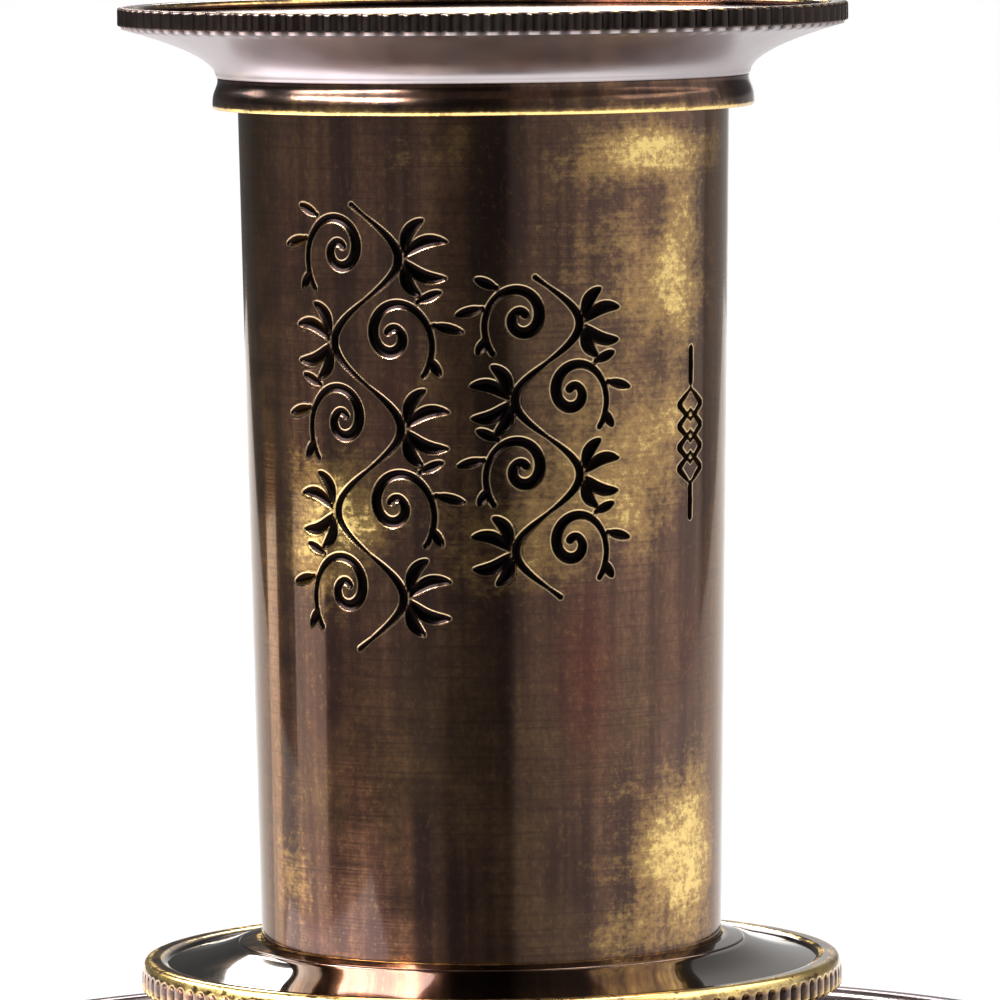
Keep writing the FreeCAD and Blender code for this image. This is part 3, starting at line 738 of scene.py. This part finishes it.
def makeCover():
    s = caseSettings
    neckBore = hubRadius + runningGap
    spigotFoot, spigotBore = caseTop - 3.95, caseBore - 1.4
    under, counterbore = caseTop - 2.45, hubBase + 2.5
    # the flare is an arc from the flat of the cover up to its neck
    centre, bend, flat = s["flareCentre"], s["flareBend"], caseTop - s["flatDrop"]
    sweep = np.radians(np.linspace(-90, -s["flareSweep"], 22))[:, None]
    flare = np.hstack([centre + bend * np.cos(sweep), flat + bend + bend * np.sin(sweep)])
    outer = roundedPath([
        (spigotBore, spigotFoot, 0.2), (caseBore - runningGap, spigotFoot, 0.2), (caseBore - runningGap, bandTop, 0),
        (caseRadius, bandTop, 0.35), (caseRadius, caseTop, 0.95), (caseRadius - 2.2, caseTop, 0.6),
        (caseRadius - 2.8, caseTop - 0.9, 0.4), (44.0, flat, 0.2)])
    inner = roundedPath([
        (s["neckRadius"], neckTop, 0.2), (neckBore, neckTop, 0.2), (neckBore, counterbore, 0.1),
        (hubFlange + 0.4, counterbore, 0.1), (hubFlange + 0.4, under, 0.1), (spigotBore, under, 0.1)])
    path = np.vstack([outer, flare, inner])
    above = path[:, 1] > bandTop + 0.2
    return turned("spun_case_cover", path, steps=320, wear=curvatureWear(path, gain=0.3),
                  polish=above * s["coverPolish"], haze=above * s["coverHaze"])


def makeBand():
    s = caseSettings
    foot, milling, waist = s["footHeight"], s["millingFoot"], caseRadius - s["grooveDepth"]
    ledge, ledgeBore = frostedTop + s["glassGap"], caseBore - s["ledge"][0]
    ledgeTop = ledge + s["ledge"][1]
    path = roundedPath([
        (caseBore, 0.0, 0.15), (caseRadius, 0.0, 0.6), (caseRadius, foot, 0.3), (waist, foot + 0.3, 0.2),
        (waist, milling - 0.3, 0.2), (caseRadius, milling, 0.3), (caseRadius, bandTop, 0.35),
        (caseBore, bandTop, 0.1), (caseBore, ledgeTop, 0.1), (ledgeBore, ledgeTop, 0.1), (ledgeBore, ledge, 0.1),
        (caseBore, ledge, 0)], 3)
    # heights outside low to high get no cut, so the foot bead below the milling stays plain
    flute = {"teeth": s["teeth"], "ridge": s["ridge"], "depth": s["fluteDepth"],
             "low": s["millingFoot"] - 0.2, "high": bandTop + 0.1, "radius": caseRadius}
    return turned("milled_case_band", path, flute=flute)


def makeRetainer():
    bore = caseBore - 3.2
    path = roundedPath([(bore, retainerBase, 0.35), (retainerRadius, retainerBase, 0.3),
                        (retainerRadius, retainerTop, 0.15), (bore, retainerTop, 0.15)])
    return turned("threaded_glass_ring", path, steps=240)


coverBrass = agedBrass("coverBrass", -0.12, 0.015, coat=0.1, coatRoughness=0.3, grazing=(0.60, 0.55, 0.57))
fit(makeCover(), coverBrass, "object_case", "case_cover")
fit(makeBand(), agedBrass("bandBrass", 0.05, 0.012), "object_case", "case_band")
plainBrass = plainMetal("turnedBrass", (0.72, 0.50, 0.20), (0.55, 0.36, 0.14), 0.26)
fit(makeRetainer(), plainBrass, "object_case", "glass_retaining_ring")
print("object case made")


def makePane(name, radius, low, high):
    edge = roundedPath([(radius - 0.8, low, 0), (radius, low, 0.25), (radius, high, 0.25), (radius - 0.8, high, 0)])
    rings = np.linspace(0.02, radius - 0.8, 14)[:-1, None]
    bottom = np.hstack([rings, np.full_like(rings, low)])
    top = np.hstack([rings[::-1], np.full_like(rings, high)])
    return discPiece(name, np.vstack([bottom, edge, top]))


clearGlass = glassy("clearGlass", (0.93, 0.97, 0.95), 0.0)
frostedGlass = glassy("groundGlass", (0.92, 0.94, 0.93), 0.42, 0.5, 0.03)
fit(makePane("frosted_pane", glassRadius, frostedBase, frostedTop), frostedGlass, "object_case", "frosted_glass")
fit(makePane("clear_pane", innerRadius, innerBase, innerTop), clearGlass, "object_case", "inner_glass")
fit(makePane("eye_window", eyeGlassRadius, eyeGlassBase, eyeGlassTop), clearGlass, "eyepiece", "eye_glass")

chipSettings = {
    "spacing": 6.6,
    "count": 48,
    "colours": {
        "ruby": (0.80, 0.03, 0.05), "amber": (0.95, 0.45, 0.04), "green": (0.04, 0.55, 0.16),
        "blue": (0.04, 0.16, 0.78), "violet": (0.42, 0.07, 0.62), "clear": (0.92, 0.95, 0.97)},
}


def chipPoints(number):
    # one chip: a prism of three to six uneven sides with broken-edge bevels, laid at the golden angle
    rng = np.random.default_rng(100 + number)
    sides = 3 + number * 5 % 4
    radius = 3.1 + 0.35 * (number * 7 % 5)
    height = 1.3 + 0.3 * (number * 3 % 4)
    reach = chipSettings["spacing"] * math.sqrt(number + 0.4)
    bearing = number * math.pi * (3 - math.sqrt(5))
    turn = math.radians(number * 47 % 120)
    corner = turn + (np.arange(sides) + rng.uniform(-0.12, 0.12, sides)) * 2 * math.pi / sides
    size = radius * rng.uniform(0.86, 1.0, sides)
    levels = np.array([[0.90, 0.0], [1.0, 0.18], [0.98, 0.80], [0.84, 1.0]])  # shares of the size and of the height
    x = reach * math.cos(bearing) + levels[:, :1] * size * np.cos(corner)
    y = reach * math.sin(bearing) + levels[:, :1] * size * np.sin(corner)
    z = np.repeat(frostedTop + 0.05 + levels[:, 1:] * height, sides, 1)
    return np.stack([x, y, z], -1), sides


def makeChips(colour, first):
    points, faces, base = [], [], 0
    for number in range(first, chipSettings["count"], len(chipSettings["colours"])):
        grid, sides = chipPoints(number)
        points.append(grid.reshape(-1, 3))
        faces += (gridFaces(4, sides, False) + base).tolist()
        faces.append([base + i for i in range(sides)][::-1])
        faces.append([base + 3 * sides + i for i in range(sides)])
        base += 4 * sides
    return addMesh(f"glass_chips_{colour}", (np.vstack(points) * mm).tolist(), faces)


feltSettings = {"cushion": (10.0, 6.3, 50.0), "cushionFoot": 26.5, "offAxis": 10.57, "washer": (22.15, 25.0)}


def makeCushions():
    # three felt pads behind the mirrors. A pad is a box swollen by superellipses: its outline is
    # |x/a|^6.7 + |y/b|^6.7 = 1 and it draws in at both ends by (1 - |t|^14)^(1/14); the felt's surface waves slightly
    wide, thick, tall = feltSettings["cushion"]
    columns, t = 96, np.sin(np.linspace(-1, 1, 61)[1:-1] * math.pi / 2)
    angle = np.linspace(0, 2 * math.pi, columns, endpoint=False)
    c, k = np.cos(angle), np.sin(angle)
    drawn = (1 - np.abs(t) ** 14) ** (1 / 14)
    ripple = 1 - 0.012 * (1 + np.sin(9 * angle[None] + 11 * t[:, None]) * np.cos(5 * angle[None])) * drawn[:, None]
    across = np.sign(c) * np.abs(c) ** 0.3 * wide / 2 * drawn[:, None] * ripple
    deep = np.sign(k) * np.abs(k) ** 0.3 * thick / 2 * drawn[:, None] * ripple
    up = np.repeat(t[:, None], columns, 1) * tall / 2
    pad = np.stack([across, deep, up], -1).reshape(-1, 3)
    pad = np.vstack([pad, [[0, 0, -tall / 2], [0, 0, tall / 2]]])
    pad += [0, feltSettings["offAxis"] + thick / 2, feltSettings["cushionFoot"] + tall / 2]
    points, quads, fans = [], [], []
    rows, size = len(t), len(pad)
    for i in range(3):
        turn = math.radians(120 * i)
        spin = np.array([[math.cos(turn), -math.sin(turn), 0], [math.sin(turn), math.cos(turn), 0], [0, 0, 1]])
        points.append(pad @ spin.T)
        quads.append(gridFaces(rows, columns, False) + i * size)
        first = np.arange(columns) + i * size
        fans += [(i * size + rows * columns, first[::-1]),
                 (i * size + rows * columns + 1, first + (rows - 1) * columns)]
    return makeMesh("felt_cushions", np.vstack(points), np.vstack(quads), {}, fans)


def makeFeltWasher():
    base, top = extent("collar_felt_washer")[1:]
    inner, outer = feltSettings["washer"]
    path = roundedPath([(inner, base, 0.15), (outer, base, 0.18), (outer, top, 0.18), (inner, top, 0.15)], 4)
    return turned("felt_washer", path, steps=200)


for first, (colour, shade) in enumerate(chipSettings["colours"].items()):
    fit(makeChips(colour, first), glassy(f"{colour}Glass", shade, 0.03), "chip_bed", f"chips_{colour}")
print("glass made")

blackBrass = plainMetal("blackenedBrass", (0.02, 0.02, 0.022), (0.035, 0.032, 0.03), 0.5)
steel = plainMetal("screwSteel", (0.50, 0.50, 0.52), (0.38, 0.38, 0.40), 0.3)
silvered = plainMetal("silveredGlass", (0.90, 0.92, 0.93), (0.86, 0.88, 0.90), 0.06, (30, 30, 30))
redFibre = fibrous("redFibre", (0.36, 0.07, 0.05), (0.26, 0.05, 0.035), 2600, 0.0)
greenFelt = fibrous("greenFelt", (0.03, 0.09, 0.05), (0.05, 0.13, 0.07), 3200)
cushions = fit(makeCushions(), greenFelt, "tube", "mirror_cushions")
fit(makeFeltWasher(), greenFelt, "tube", "collar_felt_washer")
blackCard = fibrous("blackCard", (0.012, 0.012, 0.013), (0.03, 0.03, 0.03), 1800, 0.0)
hiddenFinish = {
    "eye_stop": blackBrass, "eye_glass_ring": plainBrass, "eyepiece_washer": redFibre, "mirror_one": silvered,
    "mirror_two": silvered, "mirror_three": silvered, "mirror_sleeve": blackCard,
    "upper_mirror_cradle": plainBrass, "lower_mirror_cradle": plainBrass, "turning_hub": plainBrass,
    "hub_screws": steel, "thrust_washer": redFibre, "cell_spacer": plainBrass}
for name, material in hiddenFinish.items():
    dress(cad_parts[name], material)
print("hidden pieces dressed")


studioSettings = {
    "lens": 316.8,
    "distance": 0.733,
    "elevation": 4.6,
    "aim": (0.00105, 0.0, 0.0627),
    "roll": 0.55,
    "lampAim": 0.05,
}
roomSettings = {
    "gain": 1.25,
    "ceiling": 0.28,
    "rightCeiling": 0.75,
    "rearCeiling": (0.62, 0.34),
    "below": 1.9,
    "floor": (1.80, 0.60),
    "ring": {  # brightness of the room by bearing in degrees, 0 at the camera and positive to the right
        -180: 0.12, -163: 0.10, -130: 0.14, -112: 0.26, -75: 0.28, -50: 0.33, -27: 0.28, -20: 0.15,
        0: 0.10, 10: 0.10, 13: 0.33, 30: 0.46, 48: 0.60, 66: 0.80, 105: 0.82, 124: 0.78, 129: 0.34, 164: 0.40,
        172: 0.95, 180: 0.95},
    "seenByCamera": 1.05,
}


def makeFloor():
    side, count, drop = 6.0, 24, 0.00002  # half width and clearance under the object in metres, squares a side
    steps = np.linspace(-side, side, count + 1)
    x, y = np.meshgrid(steps, steps)
    points = np.stack([x, y, 0 * x - drop], -1).reshape(-1, 3)
    i, j = np.meshgrid(np.arange(count), np.arange(count), indexing="ij")
    first = i * (count + 1) + j
    quads = np.stack([first, first + 1, first + count + 2, first + count + 1], -1).reshape(-1, 4)
    floor = addMesh("studio_floor", points.tolist(), quads.tolist())
    material, tree, shader = newMaterial("paperFloor")
    place = node(tree, "ShaderNodeTexCoord").outputs["Object"]
    grain = stretchedNoise(tree, place, (900, 900, 900), 3.0)
    tree.links.new(mixColour(tree, grain, (0.84, 0.84, 0.84), (0.88, 0.88, 0.88)), shader.inputs["Base Color"])
    shader.inputs["Roughness"].default_value = 0.9
    shader.inputs["Specular IOR Level"].default_value = 0.1
    dress(floor, material)
    floor.visible_glossy = False  # reflections see the room's ring and the boards instead


def board(name, corners, brightness):
    # a flat board that only reflections see, given by its corners in metres
    piece = addMesh(name, corners, [tuple(range(len(corners)))])
    material, tree = newMaterial(name)[:2]
    tree.nodes.clear()
    glow = node(tree, "ShaderNodeEmission")
    glow.inputs["Color"].default_value = (*brightness, 1)
    out = node(tree, "ShaderNodeOutputMaterial")
    tree.links.new(glow.outputs[0], out.inputs["Surface"])
    dress(piece, material)
    for ray in ("camera", "diffuse", "shadow", "transmission"):
        setattr(piece, f"visible_{ray}", False)


def sector(name, low, high, near, far, brightness):
    # a wedge of the floor between two bearings and two distances from the object
    corners = [(reach * math.sin(math.radians(a)), -reach * math.cos(math.radians(a)), 0.0)
               for reach, a in ((near, low), (far, low), (far, high), (near, high))]
    board(name, corners, brightness)


def softbox(name, bearing, elevation, distance, size, power, colour=(1, 1, 1)):
    # an area light aimed at the object's axis; bearing 0 is at the camera, positive to the right
    a, e = math.radians(bearing), math.radians(elevation)
    data = bpy.data.lights.new(name, "AREA")
    data.shape, data.size, data.size_y = "RECTANGLE", size[0], size[1]
    data.energy, data.color = power, colour
    lamp = addObject(name, data)
    direction = np.array([math.sin(a) * math.cos(e), -math.cos(a) * math.cos(e), math.sin(e)])
    lamp.location = direction * distance + np.array([0, 0, studioSettings["lampAim"]])
    lamp.rotation_mode = "QUATERNION"
    lamp.rotation_quaternion = Vector(-direction).to_track_quat("-Z", "Y")
    lamp.visible_diffuse = False  # the paper floor is lit by the room alone, so its soft shadow shows


def makeWorld():
    # white for the camera, brighter from the left for the paper floor, and for reflections a ring of light and dark
    # by bearing: dark behind the camera, bright to the right, dim to the left, and behind the object white to the
    # right of its axis and dark to the left; the ceiling is darker than the ring
    world = bpy.data.worlds.new("studio")
    scene.world = world
    world.use_nodes = True
    tree = world.node_tree
    tree.nodes.clear()
    place = node(tree, "ShaderNodeTexCoord").outputs["Generated"]
    split = node(tree, "ShaderNodeSeparateXYZ")
    tree.links.new(place, split.inputs[0])
    away = math2(tree, "MULTIPLY", split.outputs["Y"], -1.0)
    bearing = math2(tree, "ARCTAN2", split.outputs["X"], away)
    turn = math2(tree, "MULTIPLY_ADD", bearing, 0.5 / math.pi, 0.5)
    ramp = node(tree, "ShaderNodeValToRGB")
    tree.links.new(turn, ramp.inputs["Fac"])
    stops = ramp.color_ramp.elements
    for i, (degrees, light) in enumerate(sorted(roomSettings["ring"].items())):
        share = degrees / 360 + 0.5
        stop = stops[i] if i < 2 else stops.new(share)
        stop.position = share
        stop.color = (light, light, light, 1)
    level = math2(tree, "MULTIPLY", ramp.outputs["Color"], roomSettings["gain"])
    upper = remap(tree, split.outputs["X"], 0.0, 0.5, roomSettings["ceiling"], roomSettings["rightCeiling"])
    rear = remap(tree, split.outputs["Y"], 0.3, 0.75)
    rearUpper = remap(tree, split.outputs["X"], -0.2, 0.2, *roomSettings["rearCeiling"])
    change = math2(tree, "SUBTRACT", rearUpper, upper)
    upper = math2(tree, "MULTIPLY_ADD", rear, change, upper)
    higher = remap(tree, split.outputs["Z"], 0.0, 0.07)
    ceiling = math2(tree, "MULTIPLY_ADD", higher, math2(tree, "SUBTRACT", upper, 1.0), 1.0)
    level = math2(tree, "MULTIPLY", level, ceiling)
    below = remap(tree, split.outputs["Z"], -0.22, -0.5, 0.0, roomSettings["below"])
    level = math2(tree, "MAXIMUM", level, below)
    path = node(tree, "ShaderNodeLightPath")
    onFloor = remap(tree, split.outputs["X"], -1.0, 1.0, *roomSettings["floor"])
    for ray, light in (("Is Diffuse Ray", onFloor), ("Is Camera Ray", roomSettings["seenByCamera"])):
        seen = math2(tree, "MULTIPLY", path.outputs[ray], light)
        level = math2(tree, "MAXIMUM", level, seen)
    room = node(tree, "ShaderNodeBackground")
    tree.links.new(level, room.inputs["Color"])
    out = node(tree, "ShaderNodeOutputWorld")
    tree.links.new(room.outputs[0], out.inputs["Surface"])


def makeCamera():
    s = studioSettings
    data = bpy.data.cameras.new("studio_camera")
    data.lens, data.sensor_width = s["lens"], 36.0
    data.clip_start, data.clip_end = 0.01, 50.0
    camera = addObject("studio_camera", data)
    e = math.radians(s["elevation"])
    back = Vector((0, -math.cos(e), math.sin(e)))
    camera.location = Vector(s["aim"]) + back * s["distance"]
    camera.rotation_mode = "QUATERNION"
    look = (-back).to_track_quat("-Z", "Y")
    camera.rotation_quaternion = Quaternion(back, math.radians(-s["roll"])) @ look
    scene.camera = camera


makeFloor()
makeWorld()
softbox("key_left", -66, 38, 0.9, (0.76, 0.34), 58, (1.0, 0.99, 0.97))
softbox("fill_right", 95, 38, 1.0, (1.0, 0.5), 4, (1.0, 0.95, 0.86))
softbox("back_left", -175, 26, 1.1, (0.30, 0.30), 3.0)
softbox("rear_left", -128, 27, 1.0, (0.45, 0.25), 3.0)
softbox("overhead", 170, 78, 1.0, (0.8, 0.5), 8)
board("white_sheet", [(-0.31, 0.06, 0), (0.38, 0.06, 0), (0.50, 1.2, 0), (-0.46, 1.2, 0)], (1.3, 1.3, 1.3))
board("near_right_sheet", [(0.058, -0.02, 0), (0.36, -0.02, 0), (0.38, 0.06, 0), (0.058, 0.06, 0)], (1.3, 1.3, 1.3))
sector("left_strip", -107, -85, 0.09, 0.66, (1.9, 1.8, 1.66))
board("near_left_sheet", [(-0.20, -0.12, 0.0003), (-0.058, -0.12, 0.0003), (-0.058, 0.10, 0.0003),
                          (-0.20, 0.10, 0.0003)], (3.4, 3.2, 3.3))
sector("thin_left_strip", -134, -123, 0.09, 0.66, (3.0, 2.75, 2.35))
makeCamera()
scene.view_settings.view_transform = "Standard"
print("studio set")
